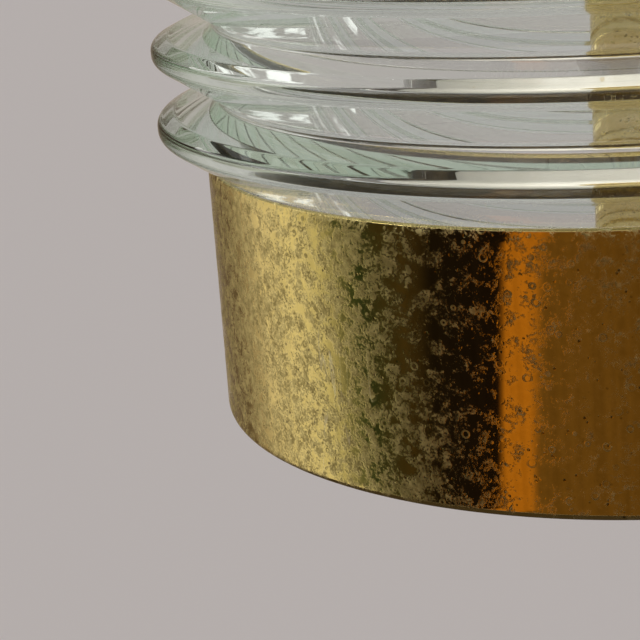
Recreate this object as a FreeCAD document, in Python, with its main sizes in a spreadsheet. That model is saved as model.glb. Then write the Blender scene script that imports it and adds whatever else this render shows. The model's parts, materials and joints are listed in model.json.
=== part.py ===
"""Barber pole light: a clear ribbed glass cylinder between two spun brass cups, hung from a wall bracket.

The origin is the centre of the mounting plate's back face, which lies on the wall (the plane Y = 0).
-Y points into the room and +Z points up. The pole hangs on a vertical axis, pole_reach in front of the wall.
"""
import FreeCAD, Part
import math
import os
from types import SimpleNamespace

import Sketcher

os.makedirs("parts", exist_ok=True)
doc = FreeCAD.newDocument("BarberPoleLight")


# ---------------------------------------------------------------- driving dimensions

DIMENSIONS = [
    # alias, value in mm (or a count), what it is
    ("pole_reach", 130, "wall face to the pole's axis"),
    ("sheet_gauge", 0.8, "thickness of the spun brass"),
    ("cup_radius", 75, "outside of both brass cups"),
    ("cup_height", 45.3, "outside height of a cup"),
    ("edge_round", 1.2, "outside rounding where a cup's wall meets its floor"),
    ("recess_radius", 57, "raised centre of a cup's floor"),
    ("recess_depth", 2, "how far that centre is raised"),
    ("recess_slope", 2, "width of the slope round it"),
    ("neck_radius", 72, "plain ends of the glass, and the valleys between its ribs"),
    ("glass_bore", 68, "inside of the glass"),
    ("tip_radius", 83.4, "outside of the ribs"),
    ("rib_pitch", 13.2, "height from one rib to the next"),
    ("rib_count", 26, "ribs on the glass"),
    ("rib_rise", 4.2, "height from a rib's tip to the valley above it"),
    ("rib_gap", 0.8, "flat land in a valley"),
    ("nose_height", 2.6, "height of a rib's rounded nose"),
    ("nose_depth", 0.8, "how far the nose bulges past its two ends"),
    ("first_tip", 7.4, "lowest rib's tip above the bottom cup's rim"),
    ("last_valley", 1, "highest valley inside the top cup's rim"),
    ("gasket_thickness", 2, "felt ring at each end of the glass"),
    ("gasket_width", 5, "radial width of that ring"),
    ("rod_radius", 5, "M10 hollow rod"),
    ("rod_bore", 3.5, "wire way inside the rod"),
    ("rod_top", 28, "rod's top end above the arm's axis"),
    ("thread_play", 0.05, "radial clearance in a thread"),
    ("slide_play", 0.08, "radial clearance where a cup runs on the rod"),
    ("tube_play", 0.1, "radial clearance of spacers and nuts on the rod"),
    ("hub_radius", 18, "ball that joins the arm and the rod"),
    ("hub_flat", 16, "ball's flat faces above and below the arm's axis"),
    ("hub_neck_radius", 12, "neck that takes the arm"),
    ("hub_neck_length", 26, "neck's end from the pole's axis"),
    ("socket_depth", 14, "arm's length inside the neck"),
    ("arm_radius", 8, "outside of the arm's tube"),
    ("arm_wall", 1.5, "wall of the arm's tube"),
    ("plate_radius", 48, "steel mounting plate"),
    ("plate_thickness", 2.5, "steel mounting plate"),
    ("mount_circle", 76, "diameter of the circle of wall screws"),
    ("mount_hole", 2.5, "radius of a wall screw's hole"),
    ("cable_hole_height", 34, "cable hole above the plate's centre"),
    ("cable_hole", 6, "radius of the cable hole"),
    ("flange_radius", 22, "arm's flange"),
    ("flange_thickness", 4, "arm's flange"),
    ("boss_radius", 12, "threaded boss on the flange"),
    ("boss_length", 20.5, "boss in front of the flange"),
    ("flange_screw_circle", 34, "diameter of the circle of flange screws"),
    ("screw_radius", 2, "M4 screw"),
    ("rose_radius", 60, "spun cover over the mounting plate"),
    ("rose_depth", 20, "front of that cover from the wall"),
    ("rose_round", 12, "rounding of its front edge"),
    ("rose_wall_gap", 0.5, "gap between its rim and the wall"),
    ("lock_ring_radius", 17, "knurled ring that holds the cover"),
    ("lock_ring_height", 5.5, "same ring"),
    ("dome_radius", 56, "small dome on the top cup"),
    ("dome_height", 26, "same dome"),
    ("dome_top_radius", 15, "flat seat under the hub"),
    ("dome_curve", 70, "radius of the dome's curve"),
    ("bridge_reach", 35, "pole's axis to each lamp's axis"),
    ("bridge_thickness", 2, "three-armed lamp bridge"),
    ("bridge_arm_width", 20, "same bridge"),
    ("nipple_length", 13.2, "hollow screw that holds a lampholder"),
    ("holder_length", 46, "lampholder"),
    ("holder_radius", 13, "lampholder's skirt"),
    ("reflector_radius", 66.5, "white disc above the lamps"),
    ("reflector_level", 92, "disc's top face below the arm's axis"),
    ("lamp_radius", 13, "tubular lamp"),
    ("lamp_length", 104, "lamp without its cap"),
    ("cap_radius", 6.93, "lamp's E14 cap"),
    ("sleeve_radius", 6.5, "brass tube over the rod"),
    ("nut_height", 5, "M10 nut"),
    ("thin_nut_height", 3, "thin M10 nut"),
    ("nut_corner", 9.8, "M10 nut across its corners, halved"),
    ("washer_thickness", 1.5, "brass washers on the rod"),
    ("washer_radius", 16, "brass washers on the rod"),
    ("stop_gap", 0.8, "stop nut above the bottom cup's floor"),
    ("finial_height", 20, "knob under the bottom cup"),
    ("finial_bore_depth", 13, "threaded depth of the knob"),
    ("finial_radius", 15, "knurled band of the knob"),
    ("grip_flute", 1.5, "radius of a grip flute on the knob and the lock ring"),
    ("grip_count", 30, "flutes round each of them"),
    ("grip_offset", 0.9, "flute's centre outside the band it is cut in"),
    ("supply_wire_radius", 1.1, "insulated supply wire"),
    ("lead_radius", 1.2, "sleeved lead to a lampholder"),
]


def text_of(number):
    """A number as a spreadsheet or an expression takes it."""
    return repr(round(float(number), 6))


class Size:
    """A length with its value and the expression that ties it to the sheet."""

    def __init__(self, value, text=None):
        self.value = float(value)
        self.text = text or text_of(value)

    def _combine(self, other, sign, value):
        return Size(value, f"({self.text} {sign} {size(other).text})")

    def __add__(self, other):
        return self._combine(other, "+", self.value + size(other).value)

    def __radd__(self, other):
        return size(other) + self

    def __sub__(self, other):
        return self._combine(other, "-", self.value - size(other).value)

    def __rsub__(self, other):
        return size(other) - self

    def __mul__(self, other):
        return self._combine(other, "*", self.value * size(other).value)

    def __rmul__(self, other):
        return size(other) * self

    def __truediv__(self, other):
        return self._combine(other, "/", self.value / size(other).value)

    def __neg__(self):
        return Size(-self.value, f"(0 - {self.text})")


def size(thing):
    return thing if isinstance(thing, Size) else Size(thing)


def write_sheet():
    """Fill the spreadsheet and return its cells as Sizes."""
    sheet = doc.addObject("Spreadsheet::Sheet", "Sizes")
    cells = SimpleNamespace()
    for row, (alias, value, meaning) in enumerate(DIMENSIONS, start=1):
        sheet.set(f"A{row}", alias)
        sheet.set(f"B{row}", text_of(value))
        sheet.setAlias(f"B{row}", alias)
        sheet.set(f"C{row}", meaning)
        setattr(cells, alias, Size(value, f"Sizes.{alias}"))
    return cells


S = write_sheet()
doc.recompute()

UPRIGHT = FreeCAD.Rotation()
UPSIDE_DOWN = FreeCAD.Rotation(FreeCAD.Vector(1, 0, 0), 180)
INTO_ROOM = FreeCAD.Rotation(FreeCAD.Vector(1, 0, 0), 90)
TO_WALL = FreeCAD.Rotation(FreeCAD.Vector(1, 0, 0), -90)
ALONG_X = FreeCAD.Rotation(FreeCAD.Vector(0, 1, 0), 90)

nodes = []


# ---------------------------------------------------------------- building helpers

def bind(thing, name, length):
    """Set a property from a Size and keep it tied to the sheet."""
    length = size(length)
    setattr(thing, name, length.value)
    thing.setExpression(name, length.text)


def place(thing, at, rotation=UPRIGHT):
    spot = [size(number) for number in at]
    thing.Placement = FreeCAD.Placement(FreeCAD.Vector(*[number.value for number in spot]), rotation)
    for axis, number in zip("xyz", spot):
        thing.setExpression(f"Placement.Base.{axis}", number.text)
    return thing


def on_pole(height, across=0, along=0):
    """A point at a height, offset from the pole's axis."""
    return (across, along - S.pole_reach, height)


def node(label, thing):
    """Name a finished sub-part and list it for export."""
    thing.Label = label
    nodes.append(thing)
    return thing


def cylinder(radius, height, at, rotation=UPRIGHT):
    thing = doc.addObject("Part::Cylinder", "Cylinder")
    bind(thing, "Radius", radius)
    bind(thing, "Height", height)
    return place(thing, at, rotation)


def box(width, depth, height, at, rotation=UPRIGHT):
    """A box centred on at in its own X and Y, standing on it in Z."""
    thing = doc.addObject("Part::Box", "Box")
    bind(thing, "Length", width)
    bind(thing, "Width", depth)
    bind(thing, "Height", height)
    corner = rotation.multVec(FreeCAD.Vector(-size(width).value / 2, -size(depth).value / 2, 0))
    return place(thing, [at[k] + Size(corner[k]) for k in range(3)], rotation)


def hexagon(corner, height, at, rotation=UPRIGHT):
    thing = doc.addObject("Part::Prism", "Hexagon")
    thing.Polygon = 6
    bind(thing, "Circumradius", corner)
    bind(thing, "Height", height)
    return place(thing, at, rotation)


def fuse(*pieces):
    thing = doc.addObject("Part::MultiFuse", "Fuse")
    thing.Shapes = list(pieces)
    return thing


def cut(base, *tools):
    thing = doc.addObject("Part::Cut", "Cut")
    thing.Base = base
    thing.Tool = tools[0] if len(tools) == 1 else fuse(*tools)
    return thing


def group(pieces):
    """Identical pieces that share one node, each still a solid of its own."""
    thing = doc.addObject("Part::Compound", "Group")
    thing.Links = list(pieces)
    return thing


def ring(outer, inner, height, at, rotation=UPRIGHT):
    return cut(cylinder(outer, height, at, rotation), cylinder(inner, height, at, rotation))


def nut(height, at, corner=S.nut_corner):
    return cut(hexagon(corner, height, at), cylinder(S.rod_radius + S.tube_play, height, at))


def arc(radius, turn):
    """Between two corners of an outline: an arc that curves left (+1) or right (-1) as it is followed."""
    return ("arc", size(radius), turn)


def arc_middle(start, end, radius, turn):
    """The point halfway along the shorter arc from start to end."""
    chord = end - start
    half = chord.Length / 2
    left = FreeCAD.Vector(-chord.y, chord.x, 0).normalize()
    centre = (start + end) / 2 + left * turn * math.sqrt(max(radius * radius - half * half, 0))
    return centre - left * turn * radius


def draw_outline(sketch, outline):
    """Draw a closed outline of corners, joined by lines or arcs, and tie every corner to the sheet."""
    corners = []
    arcs = {}
    for item in outline:
        if item[0] == "arc":
            arcs[len(corners) - 1] = item[1:]
        else:
            corners.append((size(item[0]), size(item[1])))
    points = [FreeCAD.Vector(across.value, up.value, 0) for across, up in corners]
    edges = []
    for index, start in enumerate(points):
        end = points[(index + 1) % len(points)]
        if index in arcs:
            radius, turn = arcs[index]
            middle = arc_middle(start, end, radius.value, turn)
            edge = sketch.addGeometry(Part.Arc(start, middle, end), False)
            constrain(sketch, ("Radius", edge, radius.value), radius)
            first = 1 if sketch.getPoint(edge, 1).distanceToPoint(start) < 1e-6 else 2
        else:
            edge = sketch.addGeometry(Part.LineSegment(start, end), False)
            first = 1
        edges.append((edge, first))
    for index, (edge, first) in enumerate(edges):
        before, before_first = edges[index - 1]
        sketch.addConstraint(Sketcher.Constraint("Coincident", before, 3 - before_first, edge, first))
        across, up = corners[index]
        pin_corner(sketch, edge, first, "DistanceX", across, -2)
        pin_corner(sketch, edge, first, "DistanceY", up, -1)


def pin_corner(sketch, edge, end, kind, length, zero_axis):
    """Hold one coordinate of a corner: on the axis where it is zero, at its distance otherwise."""
    if abs(length.value) < 1e-9:
        sketch.addConstraint(Sketcher.Constraint("PointOnObject", edge, end, zero_axis))
    else:
        constrain(sketch, (kind, -1, 1, edge, end, length.value), length)


def constrain(sketch, arguments, length):
    index = sketch.addConstraint(Sketcher.Constraint(*arguments))
    sketch.setExpression(f"Constraints[{index}]", length.text)


def new_sketch(body, role, name):
    plane = next(thing for thing in body.Origin.OriginFeatures if thing.Role == role)
    sketch = body.newObject("Sketcher::SketchObject", name)
    sketch.AttachmentSupport = [(plane, "")]
    sketch.MapMode = "FlatFace"
    return sketch


def revolve(body, outline, name="Profile"):
    sketch = new_sketch(body, "XZ_Plane", name)
    draw_outline(sketch, outline)
    turned_feature = body.newObject("PartDesign::Revolution", "Turned")
    turned_feature.Profile = sketch
    turned_feature.ReferenceAxis = (sketch, ["V_Axis"])
    turned_feature.Angle = 360
    sketch.Visibility = False
    return turned_feature


def turned(outline, at, rotation=UPRIGHT):
    """A turned, spun or blown piece: its outline (radius, height) turned about its own Z axis."""
    body = doc.addObject("PartDesign::Body", "Body")
    revolve(body, outline)
    return place(body, at, rotation)


def flute(body, centre_radius):
    """Cut grip flutes round the outside of a turned body."""
    doc.recompute()
    volume = body.Shape.Volume
    sketch = new_sketch(body, "XY_Plane", "FluteSketch")
    centre = FreeCAD.Vector(centre_radius.value, 0, 0)
    circle = sketch.addGeometry(Part.Circle(centre, FreeCAD.Vector(0, 0, 1), S.grip_flute.value), False)
    sketch.addConstraint(Sketcher.Constraint("PointOnObject", circle, 3, -1))
    constrain(sketch, ("DistanceX", -1, 1, circle, 3, centre_radius.value), centre_radius)
    constrain(sketch, ("Radius", circle, S.grip_flute.value), S.grip_flute)
    pocket = body.newObject("PartDesign::Pocket", "Flute")
    pocket.Profile = sketch
    pocket.Type = "ThroughAll"
    pocket.Reversed = True
    pattern = body.newObject("PartDesign::PolarPattern", "Flutes")
    pattern.Originals = [pocket]
    pattern.Axis = (sketch, ["N_Axis"])
    pattern.Angle = 360
    bind_count(pattern, S.grip_count)
    body.Tip = pattern
    sketch.Visibility = False
    doc.recompute()
    if body.Shape.Volume > volume - 1:
        raise RuntimeError("the flutes cut nothing")


def bind_count(pattern, count):
    pattern.Occurrences = int(count.value)
    pattern.setExpression("Occurrences", count.text)


def rounded_path(points, bend):
    """Straight runs between points, joined by tangent arcs of one radius."""
    edges = []
    start = points[0]
    for corner, after in zip(points[1:-1], points[2:]):
        arriving = (corner - start).normalize()
        leaving = (after - corner).normalize()
        half_turn = arriving.getAngle(leaving) / 2
        reach = bend * math.tan(half_turn)
        enter = corner - arriving * reach
        leave = corner + leaving * reach
        inward = (leaving - arriving).normalize()
        middle = corner + inward * (bend / math.cos(half_turn) - bend)
        edges.append(Part.LineSegment(start, enter).toShape())
        edges.append(Part.Arc(enter, middle, leave).toShape())
        start = leave
    edges.append(Part.LineSegment(start, points[-1]).toShape())
    return Part.Wire(edges)


def insulated_wire(points, bend, radius):
    path = rounded_path(points, bend)
    section = Part.Wire(Part.makeCircle(radius, points[0], points[1] - points[0]))
    return path.makePipeShell([section], True, False)


def wire_group(runs, bend, radius):
    thing = doc.addObject("Part::Feature", "Wires")
    thing.Shape = Part.makeCompound([insulated_wire(points, bend, radius.value) for points in runs])
    return thing


def around(count, start=0.0):
    """Unit directions (x, y) evenly spaced round a circle."""
    angles = [math.radians(start + 360 * index / count) for index in range(count)]
    return [(math.cos(angle), math.sin(angle)) for angle in angles]


# ---------------------------------------------------------------- levels along the pole

REFLECTOR_GAUGE = 1      # white disc above the lamps
ROD_SHORT = 1.5          # rod's end stays this far inside the knob's bore
LEAD_DROP = 2            # lamp leads leave the rod this far under the roof nut
LEAD_CLEARANCE = 2.2     # and this far above the bridge's nut

cup_top = -(S.hub_flat + S.dome_height) + S.recess_depth
top_rim = cup_top - S.cup_height
roof_under = cup_top - S.recess_depth - S.sheet_gauge
glass_top = cup_top - S.sheet_gauge - S.gasket_thickness
last_tip = top_rim - S.last_valley - S.rib_rise
first_tip = last_tip - S.rib_pitch * (S.rib_count - 1)
bottom_rim = first_tip - S.first_tip
cup_bottom = bottom_rim - S.cup_height
glass_bottom = cup_bottom + S.sheet_gauge + S.gasket_thickness
floor_under = cup_bottom + S.recess_depth
floor_top = floor_under + S.sheet_gauge
finial_top = floor_under - S.washer_thickness
rod_end = finial_top - S.finial_bore_depth + ROD_SHORT

roof_nut_top = roof_under - S.washer_thickness
lead_level = roof_nut_top - S.nut_height - LEAD_DROP
bridge_top = lead_level - LEAD_CLEARANCE - S.thin_nut_height
bridge_under = bridge_top - S.bridge_thickness
holder_mouth = bridge_under - S.holder_length
reflector_top = -S.reflector_level
reflector_under = reflector_top - REFLECTOR_GAUGE
sleeve_top = reflector_under - S.nut_height
stop_nut_under = floor_top + S.stop_gap
stop_nut_top = stop_nut_under + S.nut_height

boss_front = S.plate_thickness + S.flange_thickness + S.boss_length
neck_start = S.pole_reach - S.hub_neck_length
arm_end = neck_start + S.socket_depth
LAMP_DIRECTIONS = around(3, start=90)


# ---------------------------------------------------------------- wall side

EARTH_ACROSS = 34       # earth screw from the plate's centre
FIXING_HOLE = 1.55      # M3 hole for the terminal block's screw
M3_RADIUS = 1.5
M3_HEAD_RADIUS = 2.8
M3_HEAD_HEIGHT = 2
BLOCK_HEIGHT = -35      # terminal block's centre from the plate's centre
BLOCK_DEPTH = 14
BLOCK_WIDTH = 22
BLOCK_LENGTH = 16
BLOCK_SEAT = 3          # depth of the recess for its fixing screw's head
BLOCK_SEAT_RADIUS = 3.1
WAY_ACROSS = 5.5        # each way of the terminal block from its centre
WAY_DEPTH = 10.5        # ways in front of the wall
BARREL_RADIUS = 2.5
BARREL_BORE = 1.4
BARREL_PLAY = 0.05      # radial clearance of a barrel in the block
CLAMP_SCREW = 1.4
HEAD_RADIUS = 3.5       # M4 cheese head
HEAD_HEIGHT = 2.4
SCREW_SHORT = 0.5       # a screw's end stays this far inside the plate's back face
SLOT_WIDTH = 0.8
EARTH_WASHER_RADIUS = 4.5
EARTH_WASHER_GAUGE = 0.8
BOSS_SCREW_DEPTH = 16   # grub screw in the boss, from the wall
NECK_SCREW_DEPTH = 7    # grub screw in the hub's neck, from the neck's end
GRUB_SOCKET = 1.15      # hexagon socket, centre to corner
GRUB_SOCKET_DEPTH = 2
BOSS_WIRE_HOLE = 3.2    # wire way through the boss
ARM_WIRE_HOLE = 2.9     # wire way through the arm's wall
GROMMET_BORE = 4
WIRE_BEND = 4.0         # radius of the supply wires' bends
LEAD_BEND = 5.0         # radius of the lamp leads' bends


def wall_spot(depth, across=0, height=0):
    """A point in front of the wall."""
    return (across, -size(depth), height)


def mounting_plate():
    plate = cylinder(S.plate_radius, S.plate_thickness, wall_spot(0), INTO_ROOM)
    tools = [cylinder(S.cable_hole, S.plate_thickness, wall_spot(0, 0, S.cable_hole_height), INTO_ROOM)]
    for across, up in around(4, start=45):
        spot = wall_spot(0, S.mount_circle / 2 * across, S.mount_circle / 2 * up)
        tools.append(cylinder(S.mount_hole, S.plate_thickness, spot, INTO_ROOM))
    for across, up in around(3, start=90):
        spot = wall_spot(0, S.flange_screw_circle / 2 * across, S.flange_screw_circle / 2 * up)
        tools.append(cylinder(S.screw_radius + S.thread_play, S.plate_thickness, spot, INTO_ROOM))
    earth = wall_spot(0, EARTH_ACROSS)
    tools.append(cylinder(S.screw_radius + S.thread_play, S.plate_thickness, earth, INTO_ROOM))
    tools.append(cylinder(FIXING_HOLE, S.plate_thickness, wall_spot(0, 0, BLOCK_HEIGHT), INTO_ROOM))
    return node("mounting_plate", cut(plate, *tools))


def cable_grommet():
    lip = S.cable_hole + 2
    groove = S.cable_hole - S.thread_play
    lip_edge = S.plate_thickness + 1.5
    front = S.plate_thickness + 2.5
    outline = [
        (GROMMET_BORE, 0), (groove, 0), (groove, S.plate_thickness), (lip, S.plate_thickness),
        (lip, lip_edge), (GROMMET_BORE + 1, front), (GROMMET_BORE, front),
    ]
    clear_of_wall = 0.2
    return node("cable_grommet", turned(outline, wall_spot(clear_of_wall, 0, S.cable_hole_height), INTO_ROOM))


def arm_flange():
    socket = S.arm_radius + S.thread_play
    front = S.flange_thickness + S.boss_length
    outline = [
        (0, 0), (S.flange_radius, 0), (S.flange_radius, S.flange_thickness - 1),
        arc(1, 1), (S.flange_radius - 1, S.flange_thickness),
        (S.boss_radius, S.flange_thickness), (S.boss_radius, front - 0.8), (S.boss_radius - 0.8, front),
        (socket, front), (socket, S.flange_thickness), (0, S.flange_thickness),
    ]
    body = turned(outline, wall_spot(S.plate_thickness), INTO_ROOM)
    tools = [
        cylinder(BOSS_WIRE_HOLE, S.boss_radius + 2, wall_spot(WAY_DEPTH, 0, 0), UPSIDE_DOWN),
        cylinder(S.screw_radius + S.thread_play, S.boss_radius + 2, wall_spot(BOSS_SCREW_DEPTH, 0, 0)),
    ]
    reach = S.flange_screw_circle / 2
    for across, up in around(3, start=90):
        spot = wall_spot(S.plate_thickness, reach * across, reach * up)
        tools.append(cylinder(S.screw_radius + 0.1, S.flange_thickness, spot, INTO_ROOM))
    return node("arm_flange", cut(body, *tools))


def slotted_screw(shank, length, head, head_height, at, rotation):
    """A cheese-head screw whose head stands on at, with its shank going back into the work."""
    spot_head = cylinder(head, head_height, at, rotation)
    back = rotation.multVec(FreeCAD.Vector(0, 0, -1)) * size(length).value
    spot_shank = cylinder(shank, length, [at[k] + Size(back[k]) for k in range(3)], rotation)
    rise = rotation.multVec(FreeCAD.Vector(0, 0, 1)) * size(head_height).value * 0.6
    slot_spot = [at[k] + Size(rise[k]) for k in range(3)]
    slot = box(size(head) * 2 + 1, SLOT_WIDTH, head_height, slot_spot, rotation)
    return cut(fuse(spot_head, spot_shank), slot)


def flange_screws():
    depth = S.plate_thickness + S.flange_thickness
    screws = []
    for across, up in around(3, start=90):
        spot = wall_spot(depth, S.flange_screw_circle / 2 * across, S.flange_screw_circle / 2 * up)
        length = depth - SCREW_SHORT
        screws.append(slotted_screw(S.screw_radius, length, HEAD_RADIUS, HEAD_HEIGHT, spot, INTO_ROOM))
    return node("flange_screws", group(screws))


def earth_terminal():
    seat = wall_spot(S.plate_thickness, EARTH_ACROSS)
    washer_hole = S.screw_radius + S.tube_play
    node("earth_washer", ring(EARTH_WASHER_RADIUS, washer_hole, EARTH_WASHER_GAUGE, seat, INTO_ROOM))
    depth = S.plate_thickness + EARTH_WASHER_GAUGE
    spot = wall_spot(depth, EARTH_ACROSS)
    screw = slotted_screw(S.screw_radius, depth - SCREW_SHORT, HEAD_RADIUS, HEAD_HEIGHT, spot, INTO_ROOM)
    return node("earth_screw", screw)


def terminal_block():
    back = wall_spot(S.plate_thickness, 0, BLOCK_HEIGHT)
    front_depth = S.plate_thickness + BLOCK_DEPTH
    seat_depth = front_depth - BLOCK_SEAT
    seat = wall_spot(seat_depth, 0, BLOCK_HEIGHT)
    block = box(BLOCK_WIDTH, BLOCK_LENGTH, BLOCK_DEPTH, back, INTO_ROOM)
    tools = [
        cylinder(FIXING_HOLE + 0.1, BLOCK_DEPTH, back, INTO_ROOM),
        cylinder(BLOCK_SEAT_RADIUS, BLOCK_SEAT, seat, INTO_ROOM),
    ]
    barrels = []
    screws = []
    barrel_inset = 1.5
    barrel_length = BLOCK_LENGTH - 2 * barrel_inset
    low = BLOCK_HEIGHT - BLOCK_LENGTH / 2
    for side in (-1, 1):
        across = side * WAY_ACROSS
        tools.append(cylinder(BARREL_RADIUS + BARREL_PLAY, BLOCK_LENGTH, wall_spot(WAY_DEPTH, across, low)))
        barrel_spot = wall_spot(WAY_DEPTH, across, low + barrel_inset)
        barrels.append(ring(BARREL_RADIUS, BARREL_BORE, barrel_length, barrel_spot))
        for height in (BLOCK_HEIGHT - 4, BLOCK_HEIGHT + 4):
            outer = WAY_DEPTH + BARREL_RADIUS + BARREL_PLAY
            depth = size(front_depth) - outer
            spot = wall_spot(outer, across, height)
            tools.append(cylinder(CLAMP_SCREW + S.tube_play, depth, spot, INTO_ROOM))
            screws.append(cylinder(CLAMP_SCREW, depth - 0.6, spot, INTO_ROOM))
    node("terminal_block", cut(block, *tools))
    node("terminal_barrels", group(barrels))
    node("terminal_screws", group(screws))
    screw = slotted_screw(
        M3_RADIUS, seat_depth - SCREW_SHORT, M3_HEAD_RADIUS, M3_HEAD_HEIGHT, seat, INTO_ROOM)
    node("terminal_fixing_screw", screw)


def wall_rose():
    depth = S.rose_depth - S.rose_wall_gap
    inner = S.rose_radius - S.sheet_gauge
    round_start = depth - S.rose_round
    hole = S.boss_radius + 0.3
    outline = [
        (inner, 0), (S.rose_radius, 0), (S.rose_radius, round_start),
        arc(S.rose_round, 1), (S.rose_radius - S.rose_round, depth),
        (hole, depth), (hole, depth - S.sheet_gauge), (S.rose_radius - S.rose_round, depth - S.sheet_gauge),
        arc(S.rose_round - S.sheet_gauge, -1), (inner, round_start),
    ]
    return node("wall_rose", turned(outline, wall_spot(S.rose_wall_gap), INTO_ROOM))


def rose_lock_ring():
    bore = S.boss_radius + 0.06
    outline = [
        (bore, 0), (S.lock_ring_radius - 0.8, 0), (S.lock_ring_radius, 0.8),
        (S.lock_ring_radius, S.lock_ring_height - 1.2), arc(1.2, 1),
        (S.lock_ring_radius - 1.2, S.lock_ring_height), (bore, S.lock_ring_height),
    ]
    body = turned(outline, wall_spot(S.rose_depth), INTO_ROOM)
    flute(body, S.lock_ring_radius + S.grip_offset)
    return node("rose_lock_ring", body)


# ---------------------------------------------------------------- arm and hub

def arm_tube():
    start = S.plate_thickness + S.flange_thickness + 0.1
    bore = S.arm_radius - S.arm_wall
    tube = cylinder(S.arm_radius, arm_end - start, wall_spot(start), INTO_ROOM)
    tools = [
        cylinder(bore, arm_end - start, wall_spot(start), INTO_ROOM),
        cylinder(ARM_WIRE_HOLE, S.arm_radius + 1, wall_spot(WAY_DEPTH, 0, 0), UPSIDE_DOWN),
    ]
    return node("arm_tube", cut(tube, *tools))


def arm_hub():
    """A turned ball with a neck towards the wall, bored for the arm, the rod and the wires."""
    ball_start = S.hub_neck_length - 14
    body = turned([
        (0, 0), (S.hub_neck_radius, 0), (S.hub_neck_radius, S.hub_neck_length),
        (0, S.hub_neck_length),
    ], wall_spot(neck_start), INTO_ROOM)
    bead = turned([
        (S.hub_neck_radius - 1, 0), (S.hub_neck_radius + 1.2, 0.6), (S.hub_neck_radius + 1.2, 3.4),
        (S.hub_neck_radius - 1, 4),
    ], wall_spot(neck_start + 2), INTO_ROOM)
    ball = doc.addObject("Part::Sphere", "Ball")
    bind(ball, "Radius", S.hub_radius)
    place(ball, on_pole(0))
    flats = cylinder(S.hub_radius + 1, S.hub_flat * 2, on_pole(-S.hub_flat))
    trimmed = doc.addObject("Part::Common", "TrimmedBall")
    trimmed.Base = ball
    trimmed.Tool = flats
    solid = fuse(body, bead, trimmed)
    tools = [
        cylinder(S.arm_radius + S.thread_play, S.socket_depth, wall_spot(neck_start), INTO_ROOM),
        cylinder(4, ball_start, wall_spot(arm_end), INTO_ROOM),
        cylinder(S.rod_radius + S.thread_play, S.hub_radius * 2, on_pole(-S.hub_radius)),
        cylinder(S.screw_radius + S.thread_play, S.hub_neck_radius + 2,
                 wall_spot(neck_start + NECK_SCREW_DEPTH, 0, 0), UPSIDE_DOWN),
    ]
    return node("arm_hub", cut(solid, *tools))


def arm_set_screws():
    """One grub screw grips the arm in the flange's boss, another in the hub's neck."""
    gap = S.arm_radius + 0.02
    length = S.boss_radius - gap - 0.2
    pieces = []
    for depth, up, rotation in ((BOSS_SCREW_DEPTH, 1, UPRIGHT),
                                (neck_start + NECK_SCREW_DEPTH, -1, UPSIDE_DOWN)):
        stem = cylinder(S.screw_radius, length, wall_spot(depth, 0, gap * up), rotation)
        socket_spot = wall_spot(depth, 0, (gap + length - GRUB_SOCKET_DEPTH) * up)
        socket = hexagon(GRUB_SOCKET, GRUB_SOCKET_DEPTH, socket_spot, rotation)
        pieces.append(cut(stem, socket))
    return node("arm_set_screws", group(pieces))


def supply_wires():
    reach = S.pole_reach.value
    apart = S.supply_wire_radius.value + 0.2
    start = BLOCK_HEIGHT + BLOCK_LENGTH / 2 - 4
    runs = []
    for side in (-1, 1):
        runs.append([FreeCAD.Vector(*spot) for spot in (
            (side * WAY_ACROSS, -WAY_DEPTH, start),
            (side * WAY_ACROSS, -WAY_DEPTH, start + 8),
            (side * apart, -WAY_DEPTH, start + 17),
            (side * apart, -WAY_DEPTH, 0),
            (side * apart, -reach, 0),
            (side * apart, -reach, roof_under.value),
        )])
    return node("supply_wires", wire_group(runs, WIRE_BEND, S.supply_wire_radius))


# ---------------------------------------------------------------- rod, top finial, top cup

def central_rod():
    length = S.rod_top - rod_end
    rod = cylinder(S.rod_radius, length, on_pole(rod_end))
    tools = [
        cylinder(S.rod_bore, length, on_pole(rod_end)),
        cylinder(3, S.rod_radius + 1, on_pole(0, 0, 0), TO_WALL),
    ]
    for across, along in LAMP_DIRECTIONS:
        outwards = FreeCAD.Rotation(FreeCAD.Vector(0, 0, 1), FreeCAD.Vector(across, along, 0))
        tools.append(cylinder(S.lead_radius + 0.4, S.rod_radius + 1, on_pole(lead_level), outwards))
    return node("central_rod", cut(rod, *tools))


def top_finial():
    bore = S.rod_radius + S.thread_play
    depth = S.rod_top - S.hub_flat + 1
    outline = [
        (bore, 0), (13, 0), (14, 1), (14, 3), (12.5, 4), (7.5, 5.5), (7.5, 7.5),
        arc(8.5, -1), (11, 14), arc(11, 1), (3.2, 24.5), (2.6, 26), (2.6, 27.4), arc(2.6, 1), (0, 30),
        (0, depth), (bore, depth),
    ]
    return node("top_finial", turned(outline, on_pole(S.hub_flat)))


def top_dome():
    skin = S.sheet_gauge
    outline = [
        (S.dome_radius - skin, 0), (S.dome_radius, 0), (S.dome_radius, 4), (S.dome_radius - 4, 6),
        arc(S.dome_curve, 1), (S.dome_top_radius, S.dome_height), (S.rod_radius + 0.2, S.dome_height),
        (S.rod_radius + 0.2, S.dome_height - skin), (S.dome_top_radius, S.dome_height - skin),
        arc(S.dome_curve - skin, -1), (S.dome_radius - 4.3, 5.2), (S.dome_radius - skin, 3.5),
    ]
    return node("top_dome", turned(outline, on_pole(-S.hub_flat - S.dome_height)))


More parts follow.
